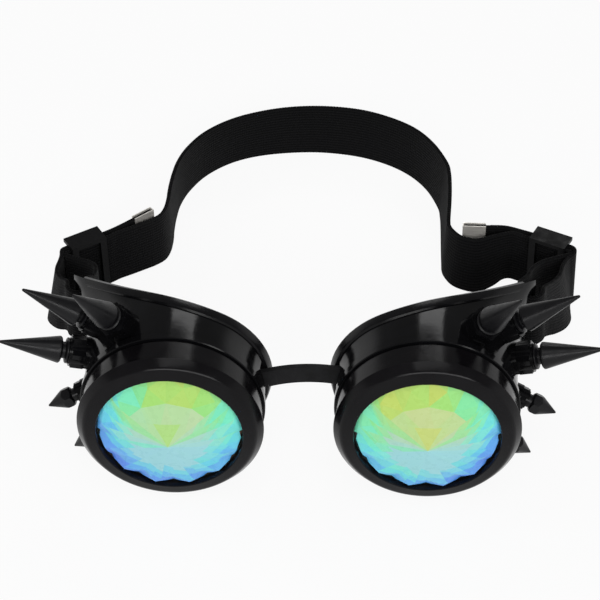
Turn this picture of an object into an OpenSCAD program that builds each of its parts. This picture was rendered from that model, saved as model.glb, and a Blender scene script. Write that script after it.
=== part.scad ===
// Kaleidoscope goggles with two spiked eyecups, screw-on lens rings and an elastic headband.
// X runs across the face, Y runs back towards the head, Z is up. The goggles stand on Z = 0:
// the lens rings, the adjusters and the lower edge of the band touch the table.

/* [Lens ring] */
// Outer diameter of the lens ring
ring_d = 65; // [58:0.5:72]
// Diameter of the opening that the lens is seen through
aperture_d = 51.6; // [44:0.2:52]
// How far the ring's front face stands ahead of its widest line
bezel_depth = 4; // [3:0.5:5]
// Length of the plain skirt behind the widest line
skirt_len = 9.4; // [8:0.2:12]
// Step from the bezel down to the skirt
skirt_step = 0.9; // [0.4:0.1:1.5]
// Thread lead, how far the ring travels in one turn
thread_lead = 2; // [1:0.25:3]
// Radial clearance between the ring's bore and the eyecup's neck
thread_gap = 0.05; // [0.02:0.01:0.1]

/* [Lens] */
// Diameter of the lens at its clamped edge
lens_d = 54; // [48:0.5:56]
// Thickness of the clamped edge
lens_edge = 3; // [2:0.25:4]
// Height of the faceted dome above the clamped edge
dome_h = 9.2; // [6:0.2:12]
// Number of kite facets round the point of the dome
kites = 12; // [8:1:16]
// Fall of a kite facet for each millimetre outwards
kite_slope = 0.22; // [0.12:0.01:0.26]
// Thickness of the rubber washer behind the lens
gasket_t = 1.2; // [0.8:0.1:2]

/* [Eyecups] */
// Distance between the centres of the two lenses
cup_pitch = 89; // [84:0.5:104]
// Reach of the rim from the lens centre towards the nose
rim_nose = 34.5; // [33:0.5:36]
// Reach of the wing from the lens centre towards the temple
wing_reach = 40.2; // [38:0.2:50]
// Half height of the wing's end
wing_half = 16.2; // [15:0.2:18]
// Depth of the rim at the nose, behind the ring's widest line
rim_depth = 28.8; // [26:0.5:36]
// Depth of the wing's end
wing_depth = 63.6; // [56:0.5:76]
// Distance from the lens centre towards the nose at which the rim starts to sweep back
sweep_start = 17.5; // [10:0.5:22]
// Wall thickness of the eyecup
wall = 2.2; // [1.6:0.1:3]
// How late the wall flares out to the wing, 1 is a straight flare
flare = 2.5; // [1.5:0.1:3.5]
// Height of the strap slot in the wing
slot_h = 25.2; // [24.6:0.2:28]
// Thickness of the bar behind the strap slot
slot_bar = 3.6; // [3:0.2:5]
// Width of the strap slot
slot_w = 6; // [5:0.2:7]

/* [Rim piping] */
// Width of the soft piping over the wall
piping_w = 4; // [3:0.25:5]
// How far the piping stands proud of the wall
piping_t = 1; // [0.6:0.1:1.5]

/* [Spikes] */
// Diameter of a long spike at its base
spike_d = 9.6; // [8:0.2:11]
// Length of a long spike's cone
spike_len = 22; // [16:0.5:27]
// Width across the flats of a short spike
stud_af = 6.8; // [5.5:0.1:8]
// Length of a short spike
stud_len = 9.6; // [7:0.2:12]
// Width across the flats of a vent cap under a long spike
cap_af = 10.6; // [9:0.2:11.5]
// Height of a vent cap under a long spike
cap_h = 5.6; // [4:0.2:7]
// Width across the flats of a vent cap under a short spike
small_cap_af = 7.6; // [6.5:0.1:9]
// Height of a vent cap under a short spike
small_cap_h = 3; // [2:0.2:4]
// Radius of the screws that hold the spikes
screw_r = 1.5; // [1.25:0.05:1.75]

/* [Nose bridge] */
// Height of the nose strip
bridge_h = 7; // [5:0.2:9]
// Thickness of the nose strip
bridge_t = 2; // [1.6:0.1:2.4]
// Rise of the strip in the middle
bridge_rise = 1.5; // [1:0.1:3]
// Tilt of the strip across the nose
bridge_tilt = 4.5; // [0:0.5:5]
// Depth of the strip behind the rings' widest line
bridge_y = 21; // [19.5:0.5:21.5]
// Height of the strip above the lens centres
bridge_up = 4.7; // [3:0.1:6]

/* [Headband] */
// Width of the elastic
strap_w = 24; // [20:0.25:24]
// Thickness of the elastic
strap_t = 1.5; // [1.2:0.1:1.8]
// Half the width of the band between its straight sides
band_half = 56; // [53:0.5:60]
// Depth of the band's back, behind the rings' widest line
band_back = 199; // [190:1:225]
// Sideways shift of the band
band_shift = -1; // [-3:0.2:3]

/* [Adjusters] */
// Length of a strap adjuster along the strap
slider_len = 14.6; // [13:0.2:16]
// Thickness of each bar and rail of an adjuster
slider_bar = 1.6; // [1.4:0.1:2]
// Length of the metal strap tip
tip_len = 9; // [6:0.5:10]

/* [Hidden] */
$fn = 64;

black = "#151517";
soft_black = "#232326";
strap_black = "#1b1b1d";
metal = "silver";
glass = "#9fe0c8";

// Small gap left between two pieces of one side that only touch
touch = 0.05;
ring_r = ring_d / 2;
skirt_r = ring_r - skirt_step;
lens_r = lens_d / 2;
aperture_r = aperture_d / 2;
cup_x = cup_pitch / 2;
cup_z = ring_r;

// Depths along the lens axis, counted back from the ring's widest line
lip_back = -1.2;
lens_back = lip_back + touch + lens_edge;
gasket_back = lens_back + touch + gasket_t;
neck_front = gasket_back + touch;
neck_r = lens_r + 2.1;
bore_r = neck_r + thread_gap;
// Flange of the eyecup behind the ring's skirt
collar_r = ring_r;
collar_front = skirt_len + 0.4;
collar_back = collar_front + 3.4;
apex_y = lip_back + touch - dome_h;
wall_front = collar_back + 1.2;
wall_r = skirt_r + 0.3;

// Rim of the eyecup, in a frame with u towards the temple, v up and the lens axis at the centre
rim_half = ring_r - 0.2;
sweep = (wing_depth - rim_depth) / pow(wing_reach + sweep_start, 2);
wing_angle = 22;
nose_steps = 38;
top_steps = 15;
end_steps = 6;
wall_rows = [0, 0.25, 0.45, 0.62, 0.78, 0.9, 1];
function rim_y(u) = rim_depth + sweep * pow(max(0, u + sweep_start), 2);
function top_v(t) = rim_half - (rim_half - wing_half) * pow(t, 1.7);
function top_angle(t) = 90 - (90 - wing_angle) * t;
// Stations round the rim: the angle on the round front end, then the point on the outline
top_half = [for (i = [0 : top_steps]) let (t = i / top_steps) [top_angle(t), wing_reach * t, top_v(t)]];
wing_end = [for (i = [1 : end_steps - 1]) let (k = 1 - 2 * i / end_steps)
    [wing_angle * k, wing_reach + 0.5 * (1 - k * k), wing_half * k]];
bottom_half = [for (i = [top_steps : -1 : 0]) [-top_half[i][0], top_half[i][1], -top_half[i][2]]];
nose_half = [for (i = [1 : nose_steps - 1]) let (a = -90 - 180 * i / nose_steps)
    [a, rim_nose * cos(a), rim_half * sin(a)]];
stations = concat(top_half, wing_end, bottom_half, nose_half);

// The wall's own edge lies inside the outline by the thickness of the piping
edge_back = 1.2;
function inset(p, d) = p * (1 - d / norm(p));
function rim_point(k) = inset([stations[k][1], stations[k][2]], piping_t);
function wall_depth(k) = rim_y(rim_point(k)[0]) - edge_back;
// Point on the wall: k counts round the rim, s runs from the front (0) to the edge (1), off is outwards
function wall_uv(k, s) = let (a = stations[k][0], front = wall_r * [cos(a), sin(a)])
    front + (rim_point(k) - front) * pow(s, flare);
function wall_pt(k, s, off) = let (q = wall_uv(k, s), r = norm(q))
    concat(q * (r + off) / r, [wall_front + (wall_depth(k) - wall_front) * s]);

// Turns cup coordinates (u, v, depth) into a solid's own axes (x towards the nose on the left cup)
function cup_xyz(p) = [-p[0], p[2], p[1]];

// Closed skin through equal rings of points; closed = true joins the last ring to the first
function ring_faces(rings, n, closed) = [for (i = [0 : (closed ? rings - 1 : rings - 2)], j = [0 : n - 1])
    let (a = i * n + j, b = i * n + (j + 1) % n, c = ((i + 1) % rings) * n + j,
        d = ((i + 1) % rings) * n + (j + 1) % n)
    each [[a, b, d], [a, d, c]]];
function end_faces(rings, n) = [each [for (j = [1 : n - 2]) [0, j + 1, j]],
    each [for (j = [1 : n - 2]) [(rings - 1) * n, (rings - 1) * n + j, (rings - 1) * n + j + 1]]];

// Spikes: angle round the cup, depth, direction in the lens plane, lean to the back, extra height of the boss
upper = [60.2, 19.3, 63.7, -26.5, 2.4];
middle = [37.5, 31, 34.5, -5, 0];
side = [17, 26.5, 16, -7, 0];
outer_stud = [-10, 24, -20.5, -13, 0];
lower_stud = [-37.5, 18.5, -37.5, 0, 0];
big = [upper, middle, side];
small = [outer_stud, lower_stud];
// Heights above the wall along a spike's own axis
boss_h = 1.7;
boss_r = 5.7;
small_boss_r = 4.3;
boss_in = wall + 1.2;
// A raised boss also leans, so it reaches further in to give the screw a flat seat
function boss_depth(s) = boss_in + 1.8 * s[4];
washer_h = 1;
neck_h = 1.6;
screw_gap = 0.15;
head_h = 1.8;
head_r = 2.8;

// Moves its children to a spike's place on the left cup, with the spike's axis along +Z
module at_spike(s) {
    r = wall_r + s[4];
    translate([-r * cos(s[0]), s[1], r * sin(s[0])])
        rotate([0, s[2] - 90, 0])
            rotate([-s[3], 0, 0])
                children();
}

// Places the children of a left-hand cup on the given side
module at_cup(side_sign) {
    translate([0, -mid_y, 0])
        mirror([side_sign > 0 ? 1 : 0, 0, 0])
            translate([-cup_x, 0, cup_z])
                children();
}

// Turns a profile drawn as (radius, depth) round the lens axis
module about_axis() {
    rotate([-90, 0, 0])
        rotate_extrude($fn = 180)
            children();
}

module cup_shell() {
    root = collar_back - 1.2;
    rows = len(wall_rows);
    function root_pt(k, r) = [r * cos(stations[k][0]), r * sin(stations[k][0]), root];
    loops = [for (k = [0 : len(stations) - 1]) concat(
        [root_pt(k, wall_r - wall)],
        [for (j = [0 : rows - 1]) wall_pt(k, wall_rows[j], -wall)],
        [for (j = [1 : rows]) wall_pt(k, wall_rows[rows - j], 0)],
        [root_pt(k, wall_r)])];
    n = len(loops[0]);
    polyhedron(points = [for (l = loops, p = l) cup_xyz(p)], faces = ring_faces(len(stations), n, true),
        convexity = 8);
}

module cup_neck() {
    inner_r = neck_r - 2.4;
    flange_edge = max(collar_r - 0.4, wall_r + 0.1);
    about_axis()
        polygon([[inner_r, neck_front], [neck_r - 0.4, neck_front], [neck_r, neck_front + 0.4],
            [neck_r, collar_front], [collar_r - 0.3, collar_front], [collar_r, collar_front + 0.3],
            [collar_r, collar_back - 0.4], [flange_edge, collar_back], [wall_r - wall - 0.6, collar_back],
            [inner_r, collar_back - 2.4]]);
}

bar_y = wing_depth - slot_bar;
module strap_slot() {
    translate([-wing_reach - 6, bar_y - slot_w, -slot_h / 2])
        cube([20, slot_w, slot_h]);
}

// The nose strip goes through a window in each wall and ends in a bead, on which the cup turns a few degrees
wall_u = -(wall_r + 0.2 - wall / 2);
wall_x = cup_x + wall_u;
bead_r = 2;
bead_in = wall / 2 + 2.3 + bead_r;
window_gap = 1.1;
window_h = bridge_h + 2 * (wall_x + wall) * sin(bridge_tilt) + 0.9;
module bridge_window() {
    translate([-wall_u - wall - 1, bridge_y - bridge_t / 2 - window_gap, bridge_up - window_h / 2])
        cube([2 * wall + 2, bridge_t + 2 * window_gap, window_h]);
}

module boss(r, depth) {
    translate([0, 0, -depth])
        cylinder(r = r, h = depth + boss_h);
}

module eyecup() {
    color(black)
        difference() {
            union() {
                cup_shell();
                cup_neck();
                for (s = big)
                    at_spike(s)
                        boss(boss_r, boss_depth(s));
                for (s = small)
                    at_spike(s)
                        boss(small_boss_r, boss_depth(s));
            }
            strap_slot();
            bridge_window();
            for (s = concat(big, small))
                at_spike(s)
                    translate([0, 0, -boss_depth(s) - 1])
                        cylinder(r = screw_r + screw_gap, h = boss_depth(s) + boss_h + 2, $fn = 32);
        }
}

// Soft piping over the rim, open across the end of the wing
piping_from = 9;
piping_gap = 0.12;
module rim_piping() {
    count = len(stations);
    first = top_steps + end_steps + 2;
    last = count + top_steps - 2;
    function lap(k) = piping_w / (wall_depth(k) - wall_front);
    function profile(k) = [
        wall_pt(k, 1, piping_gap) + [0, 0, piping_gap],
        wall_pt(k, 1, -wall - piping_gap) + [0, 0, piping_gap],
        wall_pt(k, 1 - lap(k) * 0.6, -wall - piping_gap),
        wall_pt(k, 1 - lap(k) * 0.6, -wall - 0.9),
        wall_pt(k, 1 - lap(k) * 0.2, -wall - 0.9),
        wall_pt(k, 1, -wall * 0.7) + [0, 0, edge_back],
        wall_pt(k, 1, piping_t * 0.2) + [0, 0, edge_back],
        wall_pt(k, 1 - lap(k) * 0.1, piping_t) + [0, 0, 0.4],
        wall_pt(k, 1 - lap(k) * 0.7, piping_t),
        wall_pt(k, 1 - lap(k) * 0.9, piping_t * 0.75),
        wall_pt(k, 1 - lap(k), piping_gap)];
    loops = [for (i = [first : last]) profile(i % count)];
    n = len(loops[0]);
    color(soft_black)
        polyhedron(points = [for (l = loops, p = l) cup_xyz(p)],
            faces = concat(ring_faces(len(loops), n, false), end_faces(len(loops), n)), convexity = 8);
}

module lens_ring() {
    // The face bulges a little over the straight line from the front edge to the widest line
    front_r = aperture_r + 2.9;
    bulge = 0.5;
    slope = [ring_r - front_r, bezel_depth];
    arc = [for (i = [0 : 6]) let (t = i / 6, b = bulge * 4 * t * (1 - t) / norm(slope))
        [front_r + slope[0] * t + slope[1] * b, -bezel_depth + slope[1] * t - slope[0] * b]];
    color(black)
        about_axis()
            polygon(concat([[aperture_r, lip_back - 0.4], [aperture_r, -2.8], [aperture_r + 0.5, -3.2],
                [front_r - 1, -bezel_depth + 0.2]], arc, [[ring_r, 0.2], [ring_r - 0.3, 0.5], [skirt_r, 0.9],
                [skirt_r, skirt_len - 0.4], [skirt_r - 0.4, skirt_len], [bore_r, skirt_len], [bore_r, lens_back + touch],
                [lens_r + 0.3, lens_back + touch], [lens_r + 0.3, lip_back], [aperture_r + 0.3, lip_back]]));
}

// Faceted lens: kites from the point, a second tier between them, then the steep edge facets
module lens() {
    inner_r = lens_r * 0.32;
    star_r = lens_r * 0.64;
    tier_r = lens_r * 0.87;
    edge_r = aperture_r - 0.5;
    half = 180 / kites;
    inner_fall = kite_slope * inner_r * cos(half);
    star_fall = kite_slope * star_r;
    tier_slope = (star_fall - inner_fall) / (star_r * cos(half) - inner_r);
    tier_fall = inner_fall + tier_slope * (tier_r - inner_r);
    function at(r, a, fall) = [r * cos(a), apex_y + fall, r * sin(a)];
    star = [for (i = [0 : kites - 1]) at(star_r, 90 + 2 * half * i, star_fall)];
    mids = [for (i = [0 : kites - 1]) at(inner_r, 90 + 2 * half * (i + 0.5), inner_fall)];
    tiers = [for (i = [0 : kites - 1]) at(tier_r, 90 + 2 * half * (i + 0.5), tier_fall)];
    edge = [for (i = [0 : 2 * kites - 1]) at(edge_r, 90 + half * i, dome_h)];
    back = [for (i = [0 : 2 * kites - 1]) at(edge_r, 90 + half * i, dome_h + 0.5)];
    n = kites;
    function nx(i) = (i + 1) % n;
    function ex(i) = (i + 1) % (2 * n);
    s0 = 1;
    m0 = s0 + n;
    t0 = m0 + n;
    e0 = t0 + n;
    b0 = e0 + 2 * n;
    faces = concat(
        [for (i = [0 : n - 1]) [0, m0 + i, s0 + i]],
        [for (i = [0 : n - 1]) [0, s0 + nx(i), m0 + i]],
        [for (i = [0 : n - 1]) [m0 + i, t0 + i, s0 + i]],
        [for (i = [0 : n - 1]) [m0 + i, s0 + nx(i), t0 + i]],
        [for (i = [0 : n - 1]) [s0 + i, t0 + i, e0 + 2 * i]],
        [for (i = [0 : n - 1]) [t0 + i, e0 + 2 * i + 1, e0 + 2 * i]],
        [for (i = [0 : n - 1]) [t0 + i, e0 + ex(2 * i + 1), e0 + 2 * i + 1]],
        [for (i = [0 : n - 1]) [t0 + i, s0 + nx(i), e0 + ex(2 * i + 1)]],
        [for (i = [0 : 2 * n - 1]) [e0 + i, e0 + ex(i), b0 + ex(i)]],
        [for (i = [0 : 2 * n - 1]) [e0 + i, b0 + ex(i), b0 + i]],
        [[for (i = [0 : 2 * n - 1]) b0 + i]]);
    color(glass)
        union() {
            polyhedron(points = concat([[0, apex_y, 0]], star, mids, tiers, edge, back), faces = faces);
            about_axis()
                polygon([[0, lip_back + touch], [lens_r, lip_back + touch], [lens_r, lens_back - 0.4],
                    [lens_r - 0.4, lens_back], [0, lens_back]]);
        }
}

module lens_gasket() {
    color(soft_black)
        about_axis()
            polygon([[neck_r - 2.4, lens_back + touch], [lens_r + 1.6, lens_back + touch],
                [lens_r + 1.6, gasket_back], [neck_r - 2.4, gasket_back]]);
}

cap_floor = boss_h + touch;
module vent_cap(af, h) {
    difference() {
        union() {
            translate([0, 0, cap_floor])
                cylinder(r = af / sqrt(3), h = h - 1, $fn = 6);
            translate([0, 0, cap_floor])
                cylinder(r = af / 2 + 0.1, h = h - 0.5);
            translate([0, 0, cap_floor])
                cylinder(r = af / 2 - 0.6, h = h);
        }
        cylinder(r = screw_r + screw_gap, h = h + 4, $fn = 32);
    }
}

module vent_caps() {
    color(black) {
        for (s = big)
            at_spike(s)
                vent_cap(cap_af, cap_h);
        for (s = small)
            at_spike(s)
                vent_cap(small_cap_af, small_cap_h);
    }
}

// Long spike: washer foot, narrow neck, cone with a rounded point
module spike() {
    foot = cap_floor + cap_h + touch;
    neck = foot + washer_h;
    base = neck + neck_h;
    tip_r = 0.5;
    color(black)
        difference() {
            rotate_extrude()
                polygon([[0, foot], [spike_d / 2 - 0.5, foot], [spike_d / 2 - 0.2, foot + 0.3],
                    [spike_d / 2 - 0.2, neck - 0.3], [spike_d / 2 - 0.6, neck], [spike_d * 0.31, neck + 0.3],
                    [spike_d * 0.31, base - 0.4], [spike_d / 2 - 0.5, base], [spike_d / 2, base + 0.5],
                    [spike_d / 2, base + 1], [tip_r, base + spike_len - tip_r * 0.8],
                    [tip_r * 0.6, base + spike_len - 0.1], [0, base + spike_len]]);
            translate([0, 0, foot - 1])
                cylinder(r = screw_r + 0.06, h = 7, $fn = 32);
        }
}

// Short spike: neck, then a six-sided bullet
module stud() {
    foot = cap_floor + small_cap_h + touch;
    base = foot + 1.4;
    point = base + stud_len;
    color(black)
        difference() {
            union() {
                translate([0, 0, foot])
                    cylinder(r = stud_af * 0.36, h = 2);
                intersection() {
                    translate([0, 0, base])
                        cylinder(r = stud_af / sqrt(3), h = stud_len, $fn = 6);
                    translate([0, 0, base])
                        cylinder(r1 = stud_af * 0.44, r2 = stud_af * 0.44 + stud_len, h = stud_len);
                    translate([0, 0, base + stud_len * 0.32 - stud_len])
                        cylinder(r1 = stud_af * 0.58 + stud_len * 0.5, r2 = 0.3, h = stud_len * 1.68);
                }
            }
            translate([0, 0, foot - 1])
                cylinder(r = screw_r + 0.06, h = 5, $fn = 32);
        }
}

module placed_spike(side_sign, s) {
    at_cup(side_sign)
        at_spike(s)
            spike();
}

module placed_stud(side_sign, s) {
    at_cup(side_sign)
        at_spike(s)
            stud();
}

// Pan-head screws from inside the cup
module spike_screw(depth, reach) {
    top = -depth - touch;
    difference() {
        union() {
            translate([0, 0, top - head_h])
                cylinder(r1 = head_r - 0.6, r2 = head_r, h = 0.8);
            translate([0, 0, top - head_h + 0.8])
                cylinder(r = head_r, h = head_h - 0.8);
            translate([0, 0, top - 0.5])
                cylinder(r = screw_r, h = reach - top + 0.5, $fn = 32);
        }
        for (a = [0, 90])
            rotate([0, 0, a])
                translate([-1.6, -0.35, top - head_h - 1])
                    cube([3.2, 0.7, 1.8]);
    }
}

module spike_screws() {
    color(metal) {
        for (s = big)
            at_spike(s)
                spike_screw(boss_depth(s), cap_floor + cap_h + 5);
        for (s = small)
            at_spike(s)
                spike_screw(boss_depth(s), cap_floor + small_cap_h + 3);
    }
}

// Nose strip: a shallow arch between the walls, straight ends through the windows and a round bead on each
module nose_bridge() {
    half = wall_x - 1.4;
    arch_r = (half * half + bridge_rise * bridge_rise) / (2 * bridge_rise);
    spread = asin(half / arch_r);
    bead_x = wall_x + bead_in;
    color(soft_black)
        translate([0, bridge_y - mid_y, cup_z + bridge_up])
            rotate([0, -bridge_tilt, 0]) {
                translate([0, 0, bridge_rise - arch_r])
                    rotate([90, 0, 0])
                        rotate([0, 0, 90 - spread])
                            translate([0, 0, -bridge_t / 2])
                                rotate_extrude(angle = 2 * spread, $fn = 180)
                                    translate([arch_r - bridge_h / 2, 0])
                                        square([bridge_h, bridge_t]);
                for (sx = [-1, 1]) {
                    translate([sx < 0 ? -bead_x : half - 0.5, -bridge_t / 2, -bridge_h / 2])
                        cube([bead_x - half + 0.5, bridge_t, bridge_h]);
                    translate([sx * bead_x, 0, 0])
                        rotate([0, bridge_tilt, 0])
                            cylinder(r = bead_r, h = bridge_h + 0.6, center = true);
                }
            }
}

// The elastic is drawn through points (x, depth, height of the lower edge, lean): a curve runs through every
// point but the first and last, and the lean shifts the lower edge to the right of the way.
// Headband: share of the half width, share of the way from its ends to its back, lean
band_front = 124;
band_pts = [[0.973, -0.01, -1.6], [0.973, 0, -1.6], [0.973, 0.01, -1.6], [0.973, 0.02, -1.6],
    [0.975, 0.08, -1.9], [0.979, 0.18, -2.3],
    [0.982, 0.3, -2.5], [0.979, 0.42, -2.5], [0.96, 0.51, -2.3], [0.875, 0.665, -1.9], [0.748, 0.795, -1.9],
    [0.575, 0.893, -1.4], [0.348, 0.967, -1.2], [0.071, 1, -0.6], [-0.196, 0.99, 0], [-0.447, 0.944, 1.2],
    [-0.643, 0.87, 1.6], [-0.804, 0.76, 1.5], [-0.911, 0.629, 1.3], [-0.969, 0.505, 1.1], [-0.992, 0.385, 0.7],
    [-1, 0.28, 0.3], [-1, 0.22, 0], [-1, 0.2, 0], [-1, 0.1, 0]];
band_route = [for (p = band_pts)
    [band_shift + band_half * p[0], band_front + (band_back - band_front) * p[1], 0, p[2]]];

// Strap ends: x outwards. The route leaves the headband, passes the adjuster, goes round the wing's bar and
// comes back through the adjuster to the tip.
bar_c = [cup_x + wing_reach - 2.4, bar_y + slot_bar / 2];
slot_z = cup_z - strap_w / 2;
rail = 1.6;
rail_gap = 0.2;
layer = 1.3;
left_slider = bar_c + [4.4, 45.3];
right_slider = bar_c + [10.9, 48.6];
left_turn = 33;
right_turn = 27;
slider_z = rail + rail_gap;
function along(c, turn, f, n) = [c[0] + f * cos(turn) + n * sin(turn), c[1] - f * sin(turn) + n * cos(turn),
    slider_z, 0];
function by_bar(p) = [bar_c[0] + p[0], bar_c[1] + p[1], p[2], len(p) > 3 ? p[3] : 0];
function by_end(e, p) = [e[0] + p[0], e[1] + p[1], p[2], p[3]];
past = slider_len / 2 + 0.1;
bar_wrap = [[-3.2, 11.2, 14], [-3, 4.2, slot_z - 0.5], [-2.6, 0.2, slot_z], [-1.2, -4.2, slot_z],
    [1.7, -4.9, slot_z], [4.4, -2.3, slot_z - 0.3, 0.6], [5.3, 1.2, 19, 1.4], [6.8, 4.8, 17, 2.6]];
left_out = [band_half - band_shift, band_route[len(band_route) - 2][1]];
left_corner = [[0, 5, 0, 0], [0, 0, 0, 0], [0, -0.8, 0, 0], [0, -1.6, 0, 0], [0.5, -7.2, 0, 0],
    [2, -12.3, 0.2, 0], [5.2, -16.3, 0.5, 0], [8.9, -19.5, 0.8, 0], [13.9, -23, 1.2, 0], [18.3, -25.6, 1.5, 0]];
left_inner = [[11.1, 39.2, 1.8], [11.1, 38.3, 1.8], [10.4, 37.5, 1.9], [8.5, 36.5, 2.1], [5.2, 34.5, 2.7],
    [1, 31.2, 4.1], [-1.9, 26.6, 6], [-2.9, 20, 9]];
left_outer = [[10, 9.2, 14, 4], [13.2, 16.2, 10.2, 5], [14.8, 22.7, 6.8, 5], [14.9, 28.5, 4.4, 4],
    [14, 33.5, 2.8, 2.5], [13.4, 37, 2.2, 1.5], [13.2, 39.5, 1.9, 0.5], [12.8, 41.1, 1.8]];
left_tail = [[-13, 1.5], [-18, 2.1], [-20, 2.4], [-24, 3], [-31, 4.05], [-32, 4.2]];
left_route = concat(
    [for (p = left_corner) by_end(left_out, p)],
    [for (f = [-9, -past, -6, 0, 6, past, past + 0.8]) along(left_slider, left_turn, f, -layer)],
    [for (p = concat(left_inner, bar_wrap, left_outer)) by_bar(p)],
    [for (f = [past + 0.8, past, 6, 0, -6, -past]) along(left_slider, left_turn, f, layer)],
    [for (p = left_tail) along(left_slider, left_turn, p[0], p[1])]);
right_out = [band_shift + band_half * band_pts[1][0], band_route[1][1]];
right_corner = [[0, 5, 0, 1.6], [0, 0, 0, 1.6], [0, -0.8, 0, 1.6], [0, -1.6, 0, 1.6], [0.9, -4.8, 0, 1.4],
    [3.9, -9.4, 0.1, 0.8], [8.4, -12, 0.4, 0.2], [12.4, -13, 0.7, 0], [19, -12.4, 1.2, 0], [25, -10.6, 1.6, 0],
    [28.8, -9.8, 1.8, 0]];
right_inner = [[18.2, 43.1, 1.8], [18.2, 42.2, 1.8], [17.5, 41.4, 1.9], [15.4, 40.4, 2.1], [11.7, 38.4, 2.6],
    [6.2, 34, 4.1], [2.5, 27.7, 6.2], [0.5, 20.2, 9.4]];
right_outer = [[9.6, 9.7, 14, 4], [13, 16.7, 10.2, 5], [15.4, 24.7, 6.4, 5], [16.4, 32.2, 3.8, 4],
    [17.6, 37.7, 2.4, 2.2], [19.2, 40.5, 2, 1], [20, 42.8, 1.9, 0.4], [19.7, 44.9, 1.8]];
right_tail = [[0.4, 55.1, 1.5], [-5.7, 57.5, 1.2], [-11.2, 58.5, 1], [-12.4, 58.6, 1], [-17, 58.75, 1],
    [-22.2, 58.92, 1], [-23.2, 58.95, 1]];
right_route = concat(
    [for (p = right_corner) by_end(right_out, p)],
    [for (f = [-9, -past, -6, 0, 6, past, past + 0.8]) along(right_slider, right_turn, f, -layer)],
    [for (p = concat(right_inner, bar_wrap, right_outer)) by_bar(p)],
    [for (f = [past + 0.8, past, 6, 0, -6, -past]) along(right_slider, right_turn, f, layer)],
    [for (p = right_tail) by_bar(p)]);

// Smooth curve through every point but the first and the last
function curve(a, b, c, d, t) = 0.5 * (2 * b + (c - a) * t + (2 * a - 5 * b + 4 * c - d) * t * t
    + (3 * b - a - 3 * c + d) * t * t * t);
function smooth(p, n) = concat(
    [for (i = [1 : len(p) - 3], k = [0 : n - 1]) curve(p[i - 1], p[i], p[i + 1], p[i + 2], k / n)],
    [p[len(p) - 2]]);
route_steps = 3;
// Rectangular section of the elastic at point i of a smoothed route
function strap_section(p, i, t) = let (a = p[max(0, i - 1)], b = p[min(len(p) - 1, i + 1)],
        dx = b[0] - a[0], dy = b[1] - a[1], m = norm([dx, dy]), nx = -dy / m, ny = dx / m,
        q = p[i], low = max(0, q[2]), lean = q[3] / 2, high = sqrt(strap_w * strap_w - q[3] * q[3]), h = t / 2)
    [[q[0] - nx * (lean + h), q[1] - ny * (lean + h), low],
    [q[0] + nx * (h - lean), q[1] + ny * (h - lean), low],
    [q[0] + nx * (lean + h), q[1] + ny * (lean + h), low + high],
    [q[0] + nx * (lean - h), q[1] + ny * (lean - h), low + high]];

module strap_sweep(route, t) {
    p = smooth(route, route_steps);
    loops = [for (i = [0 : len(p) - 1]) strap_section(p, i, t)];
    polyhedron(points = [for (l = loops, q = l) [-q[0], q[1], q[2]]],
        faces = concat(ring_faces(len(loops), 4, false), end_faces(len(loops), 4)), convexity = 8);
}

module headband() {
    color(strap_black)
        translate([0, -mid_y, 0])
            mirror([1, 0, 0])
                strap_sweep(band_route, strap_t);
}

module strap_end(side_sign, route) {
    color(strap_black)
        translate([0, -mid_y, 0])
            mirror([side_sign > 0 ? 1 : 0, 0, 0])
                strap_sweep(route, strap_t);
}

// Adjuster: two bars on the head side, a raised bar on the outside, joined by rails above and below
module at_slider(side_sign) {
    c = side_sign < 0 ? left_slider : right_slider;
    turn = side_sign < 0 ? left_turn : right_turn;
    translate([0, -mid_y, 0])
        mirror([side_sign > 0 ? 1 : 0, 0, 0])
            translate([-c[0], c[1], 0])
                rotate([0, 0, turn])
                    children();
}

module slider_body() {
    half = slider_len / 2;
    deep = layer + strap_t / 2 + 0.35;
    high = strap_w + 2 * (rail + rail_gap);
    color(black) {
        for (z = [0, high - rail])
            translate([-half, -deep - slider_bar, z])
                cube([slider_len, 2 * (deep + slider_bar), rail]);
        for (x = [-half, half - 2.6])
            translate([x, -deep - slider_bar, 0])
                cube([2.6, slider_bar, high]);
        translate([-1.6, deep, 0])
            cube([3.2, slider_bar, high]);
    }
}

// Metal tip: a plate folded over the end of the elastic
module strap_tip(side_sign, route) {
    skin = 0.4;
    a = route[len(route) - 3];
    b = route[len(route) - 2];
    deep = strap_t / 2 + touch + skin;
    color(metal)
        translate([0, -mid_y, 0])
            mirror([side_sign > 0 ? 1 : 0, 0, 0])
                translate([-b[0], b[1], b[2]])
                    rotate([0, 0, atan2(b[1] - a[1], a[0] - b[0])])
                        difference() {
                            translate([touch + skin - tip_len, -deep, -0.2])
                                cube([tip_len, 2 * deep, strap_w + 0.4]);
                            translate([-tip_len, -strap_t / 2 - touch, -1])
                                cube([tip_len + touch, strap_t + 2 * touch, strap_w + 2]);
                        }
}

// Overall depth, used to set the origin under the middle of the goggles
mid_y = (apex_y + band_back + strap_t / 2) / 2;

at_cup(-1) eyecup();  // left_eyecup
at_cup(1) eyecup();  // right_eyecup
at_cup(-1) rim_piping();  // left_rim_piping
at_cup(1) rim_piping();  // right_rim_piping
at_cup(-1) lens_ring();  // left_lens_ring
at_cup(1) lens_ring();  // right_lens_ring
at_cup(-1) lens();  // left_lens
at_cup(1) lens();  // right_lens
at_cup(-1) lens_gasket();  // left_lens_gasket
at_cup(1) lens_gasket();  // right_lens_gasket
placed_spike(-1, upper);  // left_upper_spike
placed_spike(-1, middle);  // left_middle_spike
placed_spike(-1, side);  // left_side_spike
placed_spike(1, upper);  // right_upper_spike
placed_spike(1, middle);  // right_middle_spike
placed_spike(1, side);  // right_side_spike
placed_stud(-1, outer_stud);  // left_outer_stud
placed_stud(-1, lower_stud);  // left_lower_stud
placed_stud(1, outer_stud);  // right_outer_stud
placed_stud(1, lower_stud);  // right_lower_stud
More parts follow.
